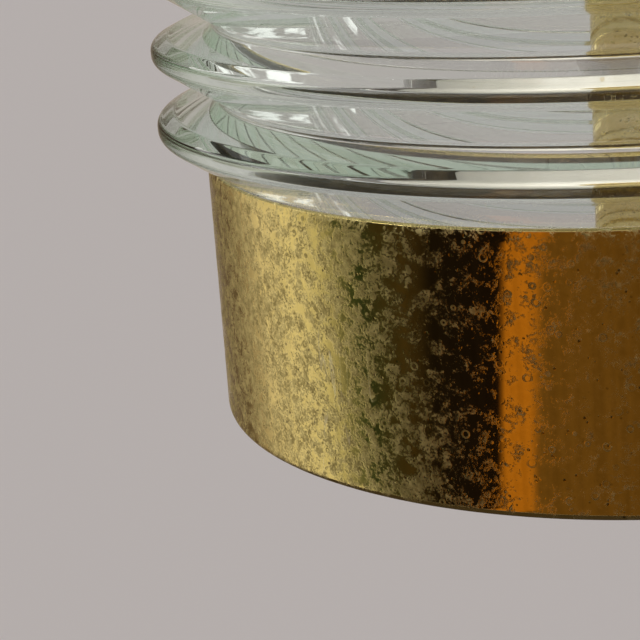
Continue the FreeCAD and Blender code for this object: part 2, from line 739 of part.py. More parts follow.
def spun_cup(label, hole, at, rotation=UPRIGHT):
    """A straight-sided cup with a rounded bottom edge and a raised centre to its floor."""
    inner = S.cup_radius - S.sheet_gauge
    floor = S.recess_depth + S.sheet_gauge
    slope_end = S.recess_radius + S.recess_slope
    outline = [
        (hole, S.recess_depth), (S.recess_radius, S.recess_depth), (slope_end, 0),
        (S.cup_radius - S.edge_round, 0), arc(S.edge_round, 1), (S.cup_radius, S.edge_round),
        (S.cup_radius, S.cup_height - 0.25), (S.cup_radius - 0.25, S.cup_height),
        (inner + 0.25, S.cup_height), (inner, S.cup_height - 0.25), (inner, S.edge_round),
        arc(S.edge_round - S.sheet_gauge, -1), (S.cup_radius - S.edge_round, S.sheet_gauge),
        (slope_end, S.sheet_gauge), (S.recess_radius, floor), (hole, floor),
    ]
    return node(label, turned(outline, at, rotation))


def rod_fittings():
    """Washers, nuts and spacers threaded on the rod, from the top cup's roof down."""
    clear = S.rod_radius + S.tube_play
    washer_low = roof_under - S.washer_thickness
    node("roof_washer", ring(S.washer_radius, clear, S.washer_thickness, on_pole(washer_low)))
    node("roof_nut", nut(S.nut_height, on_pole(washer_low - S.nut_height)))
    node("bridge_nuts", group([
        nut(S.thin_nut_height, on_pole(bridge_top)),
        nut(S.thin_nut_height, on_pole(bridge_under - S.thin_nut_height)),
    ]))
    spacer_length = bridge_under - S.thin_nut_height - reflector_top
    node("upper_spacer_tube", ring(S.sleeve_radius, clear, spacer_length, on_pole(reflector_top)))
    node("reflector_nut", nut(S.nut_height, on_pole(sleeve_top)))
    node("rod_sleeve", ring(S.sleeve_radius, clear, sleeve_top - stop_nut_top, on_pole(stop_nut_top)))
    node("stop_nut", nut(S.nut_height, on_pole(stop_nut_under)))


# ---------------------------------------------------------------- lamps

BRIDGE_HUB_RADIUS = 14   # round middle of the three-armed plate
NIPPLE_BORE = 3.6
NIPPLE_NUT_CORNER = 8.1  # nut on a nipple, centre to corner
CAVITY_RADIUS = 8        # lampholder's cavity
CAVITY_DEPTH = 32
SLEEVE_BORE = 7          # threaded brass sleeve inside it
CONTACT_RADIUS = 3       # spring contact at the cavity's end
CONTACT_LENGTH = 4.4
CAP_SHORT = 4.8          # a lamp's cap ends this far from the cavity's end
LAMP_SKIN = 0.8          # thickness of a lamp's glass
STEM_RADIUS = 3.2        # glass stem that carries the filament
STEM_LENGTH = 24
WIRE_RADIUS = 0.35       # support wires in a lamp
FILAMENT_RADIUS = 0.6


def lamp_bridge():
    """A three-armed plate that carries the lampholders."""
    arms = [cylinder(BRIDGE_HUB_RADIUS, S.bridge_thickness, on_pole(bridge_under))]
    tools = [cylinder(S.rod_radius + 0.2, S.bridge_thickness, on_pole(bridge_under))]
    for across, along in LAMP_DIRECTIONS:
        turn = FreeCAD.Rotation(FreeCAD.Vector(0, 0, 1), math.degrees(math.atan2(along, across)))
        middle = on_pole(bridge_under, S.bridge_reach / 2 * across, S.bridge_reach / 2 * along)
        arms.append(box(S.bridge_reach, S.bridge_arm_width, S.bridge_thickness, middle, turn))
        end = on_pole(bridge_under, S.bridge_reach * across, S.bridge_reach * along)
        arms.append(cylinder(S.bridge_arm_width / 2, S.bridge_thickness, end))
        tools.append(cylinder(S.rod_radius + 0.1, S.bridge_thickness, end))
    return node("lamp_bridge", cut(fuse(*arms), *tools))


def lamp_spot(direction, height):
    across, along = direction
    return on_pole(height, S.bridge_reach * across, S.bridge_reach * along)


def nipples_and_leads():
    low = bridge_top + S.thin_nut_height - S.nipple_length
    nipples = []
    nuts = []
    runs = []
    for direction in LAMP_DIRECTIONS:
        nipples.append(ring(S.rod_radius, NIPPLE_BORE, S.nipple_length, lamp_spot(direction, low)))
        nuts.append(nut(S.thin_nut_height, lamp_spot(direction, bridge_top), corner=NIPPLE_NUT_CORNER))
        across, along = direction
        start = 2.2
        reach = S.bridge_reach.value
        level = lead_level.value
        centre = -S.pole_reach.value
        runs.append([
            FreeCAD.Vector(start * across, centre + start * along, level),
            FreeCAD.Vector(reach * across, centre + reach * along, level),
            FreeCAD.Vector(reach * across, centre + reach * along, level - 10),
        ])
    node("lamp_nipples", group(nipples))
    node("nipple_nuts", group(nuts))
    node("lamp_leads", wire_group(runs, LEAD_BEND, S.lead_radius))


def lampholders():
    """Porcelain lampholders, mouths down, each with a brass screw sleeve and a centre contact."""
    bore = S.rod_radius + S.thread_play
    length = S.holder_length
    outline = [
        (CAVITY_RADIUS, 0), (S.holder_radius - 1, 0), arc(1, 1), (S.holder_radius, 1),
        (S.holder_radius, 28), (S.holder_radius - 1.5, 30), (S.holder_radius - 1.5, length - 2),
        arc(2, 1), (S.holder_radius - 3.5, length), (bore, length), (bore, length - 9),
        (1.6, length - 9), (1.6, CAVITY_DEPTH), (CAVITY_RADIUS, CAVITY_DEPTH),
    ]
    sleeves = []
    contacts = []
    for number, direction in enumerate(LAMP_DIRECTIONS, start=1):
        node(f"lampholder_{number}", turned(outline, lamp_spot(direction, holder_mouth)))
        sleeves.append(ring(CAVITY_RADIUS - 0.05, SLEEVE_BORE, CAVITY_DEPTH - 3,
                            lamp_spot(direction, holder_mouth + 1)))
        contact_spot = lamp_spot(direction, holder_mouth + CAVITY_DEPTH - CONTACT_LENGTH)
        contacts.append(cylinder(CONTACT_RADIUS, CONTACT_LENGTH, contact_spot))
    node("lampholder_sleeves", group(sleeves))
    node("lampholder_contacts", group(contacts))


def reflector_disc():
    """The white disc round the lampholders."""
    disc = cylinder(S.reflector_radius, REFLECTOR_GAUGE, on_pole(reflector_under))
    tools = [cylinder(S.rod_radius + 0.2, REFLECTOR_GAUGE, on_pole(reflector_under))]
    for direction in LAMP_DIRECTIONS:
        spot = lamp_spot(direction, reflector_under)
        tools.append(cylinder(S.holder_radius + 0.6, REFLECTOR_GAUGE, spot))
    return node("reflector_disc", cut(disc, *tools))


def lamps():
    """Tubular screw-in lamps: a glass tube, a brass cap, and a stem with its filament."""
    skin = LAMP_SKIN
    outer = S.lamp_radius
    length = S.lamp_length
    tube = [
        (0, 0), arc(outer, 1), (outer, outer), (outer, length - 14), arc(9, 1), (8, length - 3),
        (6.6, length - 0.5), (5.8, length - 0.5), (7.2, length - 3.4), arc(8.2, -1),
        (outer - skin, length - 14.4), (outer - skin, outer), arc(outer - skin, -1), (0, skin),
    ]
    cap_length = CAVITY_DEPTH - CAP_SHORT
    cap_inner = 6.3
    cap = [
        (cap_inner, 0), (S.cap_radius, 0), (S.cap_radius, cap_length - 3.5), (3.4, cap_length - 1.5),
        (3, cap_length), (0, cap_length), (0, cap_length - 2.5), (2.8, cap_length - 3.2),
        (cap_inner, cap_length - 4.6),
    ]
    frame_low = 31.5
    frame_high = 88
    for number, direction in enumerate(LAMP_DIRECTIONS, start=1):
        low = holder_mouth - length
        node(f"bulb_{number}_glass", turned(tube, lamp_spot(direction, low)))
        node(f"bulb_{number}_cap", turned(cap, lamp_spot(direction, holder_mouth)))
        across, along = direction
        stem = cylinder(STEM_RADIUS, STEM_LENGTH, lamp_spot(direction, low + length - STEM_LENGTH / 2))
        parts = [stem]
        for side in (-1, 1):
            offset = (S.bridge_reach * across + side * 2.2, S.bridge_reach * along)
            parts.append(cylinder(WIRE_RADIUS, length - 42, on_pole(low + frame_low - 1.5, *offset)))
        filament_spot = lamp_spot(direction, low + frame_low)
        parts.append(cylinder(FILAMENT_RADIUS, length - 46, filament_spot))
        for height in (frame_low, frame_high):
            bar = on_pole(low + height, S.bridge_reach * across - 2.4, S.bridge_reach * along)
            parts.append(cylinder(WIRE_RADIUS, 4.8, bar, ALONG_X))
        node(f"bulb_{number}_filament", fuse(*parts))


# ---------------------------------------------------------------- the shade that drops

def glass_cylinder():
    """A plain tube with a band of ribs: a nearly flat upper face and a steeper lower face to each."""
    body = doc.addObject("PartDesign::Body", "Body")
    length = glass_top - glass_bottom
    soften = 1
    revolve(body, [
        (S.glass_bore + soften, 0), (S.neck_radius - soften, 0), arc(soften, 1), (S.neck_radius, soften),
        (S.neck_radius, length - soften), arc(soften, 1), (S.neck_radius - soften, length),
        (S.glass_bore + soften, length), arc(soften, 1), (S.glass_bore, length - soften),
        (S.glass_bore, soften), arc(soften, 1),
    ], "TubeProfile")
    tip = first_tip - glass_bottom
    low = tip - (S.rib_pitch - S.rib_rise) + S.rib_gap / 2
    high = tip + S.rib_rise - S.rib_gap / 2
    nose = S.tip_radius - S.nose_depth
    nose_radius = (S.nose_height * S.nose_height / 4 + S.nose_depth * S.nose_depth) / (S.nose_depth * 2)
    root = S.neck_radius - 1.5
    rib = revolve(body, [
        (root, low), (S.neck_radius, low), (nose, tip - S.nose_height * 0.6),
        arc(nose_radius, 1), (nose, tip + S.nose_height * 0.4), (S.neck_radius, high), (root, high),
    ], "RibProfile")
    pattern = body.newObject("PartDesign::LinearPattern", "Ribs")
    pattern.Originals = [rib]
    pattern.Direction = (rib.Profile[0], ["V_Axis"])
    bind(pattern, "Length", S.rib_pitch * (S.rib_count - 1))
    bind_count(pattern, S.rib_count)
    body.Tip = pattern
    place(body, on_pole(glass_bottom))
    return node("glass_cylinder", body)


def gasket(label, low):
    outer = S.neck_radius + 1
    return node(label, ring(outer, outer - S.gasket_width, S.gasket_thickness, on_pole(low)))


def bottom_washer():
    hole = S.rod_radius + S.slide_play
    return node("bottom_washer", ring(S.washer_radius, hole, S.washer_thickness, on_pole(finial_top)))


def bottom_finial():
    """The knurled knob that holds up the shade."""
    bore = S.rod_radius + S.thread_play
    total = S.finial_height
    band = S.finial_radius
    outline = [
        (0, 0), (3, 0), arc(9, 1), (10.5, 4.5), (11.5, 6), (band - 0.8, 6.5), (band, 7.3),
        (band, 13.7), (band - 0.8, 14.5), (12, 15), (12, 17), arc(2, -1), (14, 19), (14, total),
        (bore, total), (bore, total - S.finial_bore_depth), (0, total - S.finial_bore_depth),
    ]
    body = turned(outline, on_pole(finial_top - total))
    flute(body, band + S.grip_offset)
    return node("bottom_finial", body)


# ---------------------------------------------------------------- assembly

mounting_plate()
cable_grommet()
arm_flange()
flange_screws()
earth_terminal()
terminal_block()
supply_wires()
wall_rose()
rose_lock_ring()
arm_tube()
arm_hub()
arm_set_screws()
central_rod()
top_finial()
top_dome()
spun_cup("top_cup", S.rod_radius + 0.2, on_pole(cup_top), UPSIDE_DOWN)
rod_fittings()
lamp_bridge()
nipples_and_leads()
lampholders()
reflector_disc()
lamps()
glass_cylinder()
gasket("top_gasket", glass_top)
gasket("bottom_gasket", cup_bottom + S.sheet_gauge)
spun_cup("bottom_cup", S.rod_radius + S.slide_play, on_pole(cup_bottom))
bottom_washer()
bottom_finial()

doc.recompute()

for thing in doc.Objects:
    if "Invalid" in thing.State or "Error" in thing.State:
        raise RuntimeError(f"{thing.Label} ({thing.TypeId}) failed: {thing.State}")
for thing in nodes:
    if thing.Shape.isNull() or not thing.Shape.isValid() or not thing.Shape.Solids:
        raise RuntimeError(f"{thing.Label} has no valid solid")

for thing in nodes:
    thing.Shape.exportStep(f"parts/{thing.Label}.step")
print(f"{len(nodes)} sub-parts written")
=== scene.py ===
"""Looks for the barber pole light: ribbed glass, patinated brass, lamps and a plain pale studio."""
import json
import math

import bpy
from mathutils import Matrix, Vector, noise

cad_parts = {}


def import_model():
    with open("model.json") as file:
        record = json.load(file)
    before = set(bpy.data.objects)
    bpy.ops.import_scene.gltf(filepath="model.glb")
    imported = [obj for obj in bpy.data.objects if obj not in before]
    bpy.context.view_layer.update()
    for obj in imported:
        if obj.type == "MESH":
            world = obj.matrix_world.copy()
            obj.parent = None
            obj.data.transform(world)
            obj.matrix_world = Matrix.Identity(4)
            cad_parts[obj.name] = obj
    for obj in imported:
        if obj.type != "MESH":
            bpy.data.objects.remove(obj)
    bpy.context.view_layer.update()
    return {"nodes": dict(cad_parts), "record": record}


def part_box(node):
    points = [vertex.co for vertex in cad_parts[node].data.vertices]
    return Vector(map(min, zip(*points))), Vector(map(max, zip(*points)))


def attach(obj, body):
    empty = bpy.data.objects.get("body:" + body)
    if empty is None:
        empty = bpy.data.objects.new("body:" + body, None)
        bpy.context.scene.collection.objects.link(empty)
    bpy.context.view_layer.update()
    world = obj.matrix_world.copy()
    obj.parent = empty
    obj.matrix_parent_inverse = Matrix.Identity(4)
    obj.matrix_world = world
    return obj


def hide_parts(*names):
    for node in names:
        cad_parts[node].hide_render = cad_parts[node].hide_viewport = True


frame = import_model()
NODES = frame["nodes"]
scene = bpy.context.scene

MM = 0.001

# ---------------------------------------------------------------- places, from the frame

cup_low, cup_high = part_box("bottom_cup")
POLE = Vector(((cup_low.x + cup_high.x) / 2, (cup_low.y + cup_high.y) / 2, 0))
CUP_RADIUS = (cup_high.x - cup_low.x) / 2
CUP_BOTTOM = cup_low.z


def at_pole(height, across=0.0, along=0.0):
    """A place at a height, so far across and along from the pole's axis."""
    return Vector((POLE.x + across, POLE.y + along, height))


# ---------------------------------------------------------------- camera

# Distance and height are in cup radii, from the centre of the bottom cup's underside.
CAMERA_DISTANCE = 4.7588
CAMERA_HEIGHT = 1.5392
CAMERA_YAW = 0.16066          # radians
CAMERA_PITCH = -0.28074
CAMERA_ROLL = 0.07516
CAMERA_LENS = 112.5           # mm, on a 36 mm sensor
CAMERA_SENSOR = 36
CLIP_NEAR, CLIP_FAR = 0.01, 50


def make_camera():
    data = bpy.data.cameras.new("camera")
    data.sensor_width = CAMERA_SENSOR
    data.lens = CAMERA_LENS
    data.clip_start = CLIP_NEAR
    data.clip_end = CLIP_FAR
    camera = bpy.data.objects.new("camera", data)
    scene.collection.objects.link(camera)
    level = Matrix.Rotation(math.pi / 2, 4, "X")
    turn = (Matrix.Rotation(CAMERA_YAW, 4, "Z") @ Matrix.Rotation(CAMERA_PITCH, 4, "X")
            @ Matrix.Rotation(CAMERA_ROLL, 4, "Y") @ level)
    height = CUP_BOTTOM + CAMERA_HEIGHT * CUP_RADIUS
    spot = at_pole(height, 0, -CAMERA_DISTANCE * CUP_RADIUS)
    camera.matrix_world = Matrix.Translation(spot) @ turn
    scene.camera = camera


make_camera()


# ---------------------------------------------------------------- mesh helpers

LONGEST_REACH = 0.48      # of a side: how much of it one rounding may use
MIDDLE_LIMITS = 4         # length of the pieces in the middle of a straight, in limits


def link(obj):
    scene.collection.objects.link(obj)
    return obj


def rounded(corners, radii, steps=6, closed=False):
    """A polyline through corners, with each corner rounded to its radius in so many steps."""
    count = len(corners)
    points = []
    for index in range(count):
        here = Vector(corners[index])
        radius = radii[index]
        if radius <= 0 or (not closed and index in (0, count - 1)):
            points.append(here)
            continue
        back = Vector(corners[index - 1]) - here
        ahead = Vector(corners[(index + 1) % count]) - here
        half = back.angle(ahead) / 2
        reach = min(radius / math.tan(half), LONGEST_REACH * back.length,
                    LONGEST_REACH * ahead.length)
        radius = reach * math.tan(half)
        back.normalize()
        ahead.normalize()
        centre = here + (back + ahead).normalized() * (radius / math.sin(half))
        start = here + back * reach - centre
        end = here + ahead * reach - centre
        turn = start.angle_signed(end)
        for step in range(steps + 1):
            angle = -turn * step / steps
            points.append(centre + Matrix.Rotation(angle, 2) @ start)
    return points


def split_straights(points, limit, near):
    """Extra points in each straight of a closed line that is longer than limit.

    Two of them are close to its ends, so that its shading stays flat.
    """
    result = []
    for index, here in enumerate(points):
        result.append(here)
        after = points[(index + 1) % len(points)]
        length = (after - here).length
        if length > limit:
            share = near / length
            result.append(here.lerp(after, share))
            pieces = max(1, round(length / (limit * MIDDLE_LIMITS)))
            for piece in range(1, pieces):
                result.append(here.lerp(after, share + (1 - 2 * share) * piece / pieces))
            result.append(here.lerp(after, 1 - share))
    return result


def new_mesh(name, vertices, faces, materials=()):
    mesh = bpy.data.meshes.new(name)
    mesh.from_pydata(vertices, [], faces)
    for material in materials:
        mesh.materials.append(material)
    return mesh


def lathe(name, profile, segments, centre, wobble=None, materials=(), rows=(0,)):
    """A mesh of revolution about a vertical axis from a closed profile of (radius, height).

    Each material covers the faces from its own entry in rows to the next one's.
    """
    vertices = []
    for radius, height in profile:
        for segment in range(segments):
            angle = 2 * math.pi * segment / segments
            r = radius + (wobble(radius, height, angle) if wobble else 0.0)
            vertices.append((centre.x + r * math.cos(angle), centre.y + r * math.sin(angle),
                             height))
    faces = []
    count = len(profile)
    for row in range(count):
        low = row * segments
        high = ((row + 1) % count) * segments
        for segment in range(segments):
            after = (segment + 1) % segments
            faces.append((low + segment, low + after, high + after, high + segment))
    mesh = new_mesh(name, vertices, faces, materials)
    mesh.polygons.foreach_set("use_smooth", [True] * len(mesh.polygons))
    mesh.update()
    for polygon in mesh.polygons:
        polygon.material_index = sum(polygon.index >= row * segments for row in rows) - 1
    return link(bpy.data.objects.new(name, mesh))


# ---------------------------------------------------------------- shader helpers

class Shader:
    """Builds one material's node tree with short calls. Scales are per metre."""

    def __init__(self, name):
        self.material = bpy.data.materials.new(name)
        self.material.use_nodes = True
        self.tree = self.material.node_tree
        self.tree.nodes.clear()
        self.output = self.tree.nodes.new("ShaderNodeOutputMaterial")
        self.place = self.add("ShaderNodeTexCoord").outputs["Object"]

    def add(self, kind, inputs=(), **settings):
        made = self.tree.nodes.new(kind)
        for key, value in settings.items():
            setattr(made, key, value)
        for key, value in dict(inputs).items():
            self.feed(made.inputs[key], value)
        return made

    def feed(self, socket, value):
        if isinstance(value, bpy.types.NodeSocket):
            self.tree.links.new(value, socket)
        elif socket.type == "RGBA" and len(value) == 3:
            socket.default_value = (*value, 1)
        else:
            socket.default_value = value

    def show(self, shader, socket="Surface"):
        """Makes a shader node the material's surface or volume."""
        self.tree.links.new(shader.outputs[0], self.output.inputs[socket])

    def math(self, operation, first, second=0.0):
        made = self.add("ShaderNodeMath", operation=operation)
        self.feed(made.inputs[0], first)
        self.feed(made.inputs[1], second)
        return made.outputs[0]

    def plus(self, first, second):
        return self.math("ADD", first, second)

    def minus(self, first, second):
        return self.math("SUBTRACT", first, second)

    def times(self, first, second):
        return self.math("MULTIPLY", first, second)

    def noise(self, scale, detail=3.0, roughness=0.55, distortion=0.0, at=None):
        return self.add("ShaderNodeTexNoise", {
            "Vector": at or self.place, "Scale": scale, "Detail": detail,
            "Roughness": roughness, "Distortion": distortion}).outputs["Fac"]

    def cells(self, scale):
        return self.add("ShaderNodeTexVoronoi", {"Vector": self.place, "Scale": scale})

    def step(self, value, low, high, first=0.0, last=1.0):
        """A smooth step from first, where value is low, to last, where it is high."""
        made = self.add("ShaderNodeMapRange", {
            "Value": value, "From Min": low, "From Max": high, "To Min": first, "To Max": last},
            interpolation_type="SMOOTHSTEP")
        return made.outputs["Result"]

    def mix(self, share, first, second):
        """A mix of two colours."""
        made = self.add("ShaderNodeMix", data_type="RGBA")
        self.feed(made.inputs["Factor"], share)
        self.feed(made.inputs[6], first)
        self.feed(made.inputs[7], second)
        return made.outputs[2]

    def blend(self, share, first, second):
        """A mix of two numbers."""
        made = self.add("ShaderNodeMix", data_type="FLOAT")
        self.feed(made.inputs[0], share)
        self.feed(made.inputs[2], first)
        self.feed(made.inputs[3], second)
        return made.outputs[0]

    def bump(self, height, distance):
        inputs = {"Height": height, "Distance": distance, "Strength": 1.0}
        return self.add("ShaderNodeBump", inputs).outputs["Normal"]

    def stretched(self, x=1.0, y=1.0, z=1.0, turn=(0, 0, 0), of=None):
        return self.add("ShaderNodeMapping", {
            "Vector": of or self.place, "Scale": (x, y, z), "Rotation": turn}).outputs[0]

    def principled(self, inputs):
        self.show(self.add("ShaderNodeBsdfPrincipled", inputs))
        return self.material


# ---------------------------------------------------------------- materials

WIDE_SCALE, PATCH_SCALE, GRAIN_SCALE, KHAKI_SCALE = 38, 430, 2300, 760
RING_SCALE, RING_AREA_SCALE = 520, 160
PIT_SCALE, PIT_AREA_SCALE = 900, 380
SCRATCH_AREA_SCALE = 55
WIDE_SHARE, PATCH_SHARE, GRAIN_SHARE = 0.30, 0.85, 0.35
FILM_EDGE = (-0.042, -0.018)        # metres across: the brass film thins out between these
FILM_COVER = (0.08, -0.03)          # what is added to the film left and right of that
FILM_STARTS, FILM_FULL = 0.71, 0.92
RING_LEAST, RING_SPREAD = 0.05, 0.30    # radii of the rings, in cells
RING_WIDTHS = (0.11, 0.03)
PIT_SIZES = (0.26, 0.12)
SCRATCH_WIDTH = 0.006
KHAKI = ((0.28, 0.215, 0.072), (0.72, 0.60, 0.28))
CLEAN_BRASS = ((0.66, 0.52, 0.20), (0.78, 0.63, 0.30))
PIT_COLOUR = (0.07, 0.045, 0.018)
SCRATCH_COLOUR = (0.86, 0.76, 0.52)
CLEAN_ROUGH, FILM_ROUGH = 0.045, 0.50
FILM_METALLIC = 0.92
PATINA_RELIEF = 0.03 * MM


def patinated_brass(name, wear):
    """Old polished brass under a dull film of grains, spots and rings; wear thins the film."""
    m = Shader(name)
    wide = m.noise(WIDE_SCALE, 3, 0.6)
    patches = m.noise(PATCH_SCALE, 5, 0.62, 0.5)
    grains = m.noise(GRAIN_SCALE, 3, 0.65)
    across = m.add("ShaderNodeSeparateXYZ", {"Vector": m.place}).outputs[0]

    # where the film is
    cover = m.step(across, *FILM_EDGE, *FILM_COVER)
    worn = m.plus(m.times(wide, WIDE_SHARE), m.times(patches, PATCH_SHARE))
    worn = m.plus(worn, m.times(grains, GRAIN_SHARE))
    worn = m.plus(worn, cover)
    corroded = m.step(worn, FILM_STARTS + wear, FILM_FULL + wear)

    # rings of random size, and pits
    spots = m.cells(RING_SCALE)
    random = m.add("ShaderNodeSeparateColor", {"Color": spots.outputs["Color"]}).outputs[0]
    size = m.plus(m.times(random, RING_SPREAD), RING_LEAST)
    ring = m.math("ABSOLUTE", m.minus(spots.outputs["Distance"], size))
    ring = m.times(m.step(ring, *RING_WIDTHS), m.step(m.noise(RING_AREA_SCALE, 2), 0.46, 0.60))
    pits = m.step(m.cells(PIT_SCALE).outputs["Distance"], *PIT_SIZES)
    pits = m.times(pits, m.step(m.noise(PIT_AREA_SCALE, 2), 0.50, 0.64))
    film = m.math("MAXIMUM", m.times(corroded, m.step(grains, 0.30, 0.62, 0.45, 0.95)),
                  m.times(ring, 0.8))

    # colour, with fine slanting scratches
    khaki = m.mix(m.step(m.noise(KHAKI_SCALE, 4, 0.6), 0.32, 0.7), *KHAKI)
    clean = m.mix(m.step(patches, 0.3, 0.7), *CLEAN_BRASS)
    colour = m.mix(film, clean, khaki)
    colour = m.mix(m.times(pits, 0.8), colour, PIT_COLOUR)
    line = m.noise(1.0, 1, 0.5, at=m.stretched(260, 260, 22, turn=(0.3, 0.45, 0)))
    line = m.step(m.math("ABSOLUTE", m.minus(line, 0.5)), SCRATCH_WIDTH, 0.0)
    scratch = m.times(line, m.step(m.noise(SCRATCH_AREA_SCALE, 2), 0.60, 0.66))
    colour = m.mix(m.times(scratch, 0.7), colour, SCRATCH_COLOUR)

    # roughness and relief
    rough = m.blend(film, CLEAN_ROUGH, FILM_ROUGH)
    rough = m.plus(rough, m.times(scratch, 0.25))
    rough = m.plus(rough, m.times(m.minus(grains, 0.5), 0.1))
    height = m.minus(m.times(film, 0.5), pits)
    height = m.plus(height, m.times(m.times(grains, film), 0.4))
    return m.principled({
        "Base Color": colour, "Metallic": m.blend(film, 1.0, FILM_METALLIC), "Roughness": rough,
        "Specular IOR Level": 0.25, "Normal": m.bump(height, PATINA_RELIEF)})


GLASS_IOR, LAMP_IOR = 1.5, 1.45
GLASS_TINT, TINT_DENSITY = (0.66, 0.88, 0.66), 6.0


def see_through(m, colour, roughness, ior, shadow_colour):
    """A glass surface that shadow rays cross in a straight line."""
    glass = m.add("ShaderNodeBsdfPrincipled", {
        "Base Color": colour, "Roughness": roughness, "IOR": ior, "Transmission Weight": 1.0})
    clear = m.add("ShaderNodeBsdfTransparent", {"Color": shadow_colour})
    shadow = m.add("ShaderNodeLightPath").outputs["Is Shadow Ray"]
    m.show(m.add("ShaderNodeMixShader", {0: shadow, 1: glass.outputs[0], 2: clear.outputs[0]}))


def clear_glass():
    """Clear glass with a faint green tint that grows with the length of the way through it."""
    m = Shader("clear_glass")
    see_through(m, (0.99, 0.99, 0.99), 0.0, GLASS_IOR, (0.96, 0.97, 0.96))
    tint = m.add("ShaderNodeVolumeAbsorption", {"Color": GLASS_TINT, "Density": TINT_DENSITY})
    m.show(tint, "Volume")
    return m.material


def lamp_glass():
    m = Shader("lamp_glass")
    smoke = m.noise(60, 3)
    colour = m.mix(m.step(smoke, 0.4, 0.7), (0.97, 0.96, 0.93), (0.93, 0.90, 0.84))
    see_through(m, colour, m.step(smoke, 0.3, 0.8, 0.0, 0.05), LAMP_IOR, (0.95, 0.95, 0.93))
    return m.material


def finish(name, dark, light, patch, rough, grain, depth, metallic=0.0, coat=0.0, speck=None):
    """A surface with patches between two colours, fine grain, and a roughness that varies.

    patch and grain are scales, rough holds the least and the most roughness, depth is the
    grain's in millimetres, and speck is the scale and colour of a few specks.
    """
    m = Shader(name)
    patches = m.noise(patch, 4, 0.6, 0.3)
    fine = m.noise(grain, 3, 0.6)
    colour = m.mix(m.step(patches, 0.32, 0.68), dark, light)
    colour = m.mix(m.times(m.step(fine, 0.55, 0.75), 0.35), colour, dark)
    if speck:
        scale, speck_colour = speck
        dots = m.step(m.cells(scale).outputs["Distance"], 0.22, 0.10)
        dots = m.times(dots, m.step(m.noise(scale * 0.4, 2), 0.5, 0.6))
        colour = m.mix(dots, colour, speck_colour)
    roughness = m.step(m.noise(patch * 1.7, 3), 0.3, 0.7, *rough)
    return m.principled({
        "Base Color": colour, "Metallic": metallic, "Roughness": roughness,
        "Coat Weight": coat, "Coat Roughness": 0.08, "Normal": m.bump(fine, depth * MM)})


def felt():
    m = Shader("felt")
    fibres = m.noise(900, 6, 0.75, 2.5)
    tangle = m.noise(2600, 4, 0.7, 1.2)
    colour = m.mix(m.step(fibres, 0.3, 0.7), (0.66, 0.64, 0.57), (0.88, 0.86, 0.79))
    height = m.plus(fibres, m.times(tangle, 0.6))
    return m.principled({
        "Base Color": colour, "Roughness": 0.95, "Sheen Weight": 0.5,
        "Normal": m.bump(height, 0.15 * MM)})


def braided_sleeve():
    """Two sets of fine bands that cross."""
    m = Shader("lead_sleeve")
    bands = []
    for turn in (0.9, -0.9):
        slanting = m.stretched(turn=(0, turn, 0.4))
        wave = m.add("ShaderNodeTexWave", {"Vector": slanting, "Scale": 900.0})
        bands.append(wave.outputs["Fac"])
    weave = m.math("MAXIMUM", *bands)
    colour = m.mix(m.step(weave, 0.2, 0.8), (0.42, 0.36, 0.24), (0.80, 0.76, 0.64))
    return m.principled({
        "Base Color": colour, "Roughness": 0.8, "Normal": m.bump(weave, 0.08 * MM)})


def enamel(name, patch, rough, grain, depth, coat, speck):
    return finish(name, (0.80, 0.78, 0.72), (0.88, 0.87, 0.83), patch, rough, grain, depth,
                  coat=coat, speck=speck)


BRASS = patinated_brass("patinated_brass", wear=0.0)
FITTING_BRASS = patinated_brass("fitting_brass", wear=0.10)
GLASS = clear_glass()
# Very dark brass for the cups' inner walls: tarnish plus painted shade inside the cups.
TARNISH_AND_SHADE = finish("tarnish_and_shade_brass", (0.10, 0.070, 0.035), (0.22, 0.16, 0.08),
                 130, (0.30, 0.50), 1500, 0.02, metallic=1.0)
CREAM_PAINT = finish("cream_paint", (0.48, 0.45, 0.38), (0.58, 0.55, 0.48),
                     60, (0.25, 0.40), 700, 0.02, coat=0.3, speck=(260, (0.45, 0.38, 0.26)))
SLOT_MATERIALS = {
    "brass_cup": BRASS,
    "brass_fittings": FITTING_BRASS,
    "clear_glass": GLASS,
    "lamp_glass": lamp_glass(),
    "steel_plate": finish(
        "steel_plate", (0.42, 0.42, 0.40), (0.66, 0.66, 0.64), 90, (0.28, 0.50), 1500, 0.02,
        metallic=1.0, speck=(420, (0.24, 0.15, 0.09))),
    "steel_fasteners": finish(
        "steel_fasteners", (0.50, 0.48, 0.42), (0.74, 0.72, 0.66), 400, (0.20, 0.42), 2600, 0.01,
        metallic=1.0, speck=(900, (0.26, 0.17, 0.10))),
    "porcelain": enamel("porcelain", 120, (0.08, 0.18), 500, 0.03, 0.6, (700, (0.40, 0.34, 0.26))),
    "white_enamel": enamel(
        "white_enamel", 40, (0.15, 0.30), 350, 0.05, 0.5, (300, (0.50, 0.44, 0.34))),
    "felt": felt(),
    "rubber": finish(
        "rubber", (0.018, 0.018, 0.018), (0.045, 0.044, 0.042), 220, (0.55, 0.75), 1800, 0.04),
    "terminal_plastic": finish(
        "terminal_plastic", (0.62, 0.58, 0.48), (0.74, 0.71, 0.62), 150, (0.35, 0.50), 1400, 0.03,
        speck=(800, (0.42, 0.37, 0.28))),
    "wire_insulation": finish(
        "wire_insulation", (0.30, 0.16, 0.08), (0.40, 0.23, 0.12), 300, (0.40, 0.55), 1600, 0.02),
    "lead_sleeve": braided_sleeve(),
    "filament": finish(
        "filament", (0.32, 0.31, 0.30), (0.52, 0.50, 0.48), 900, (0.30, 0.50), 4000, 0.005,
        metallic=1.0),
}

for entry in frame["record"]["subparts"]:
    piece = NODES[entry["node"]]
    piece.data.materials.clear()
    piece.data.materials.append(SLOT_MATERIALS[entry["material_slot"]])


# ---------------------------------------------------------------- ribbed glass

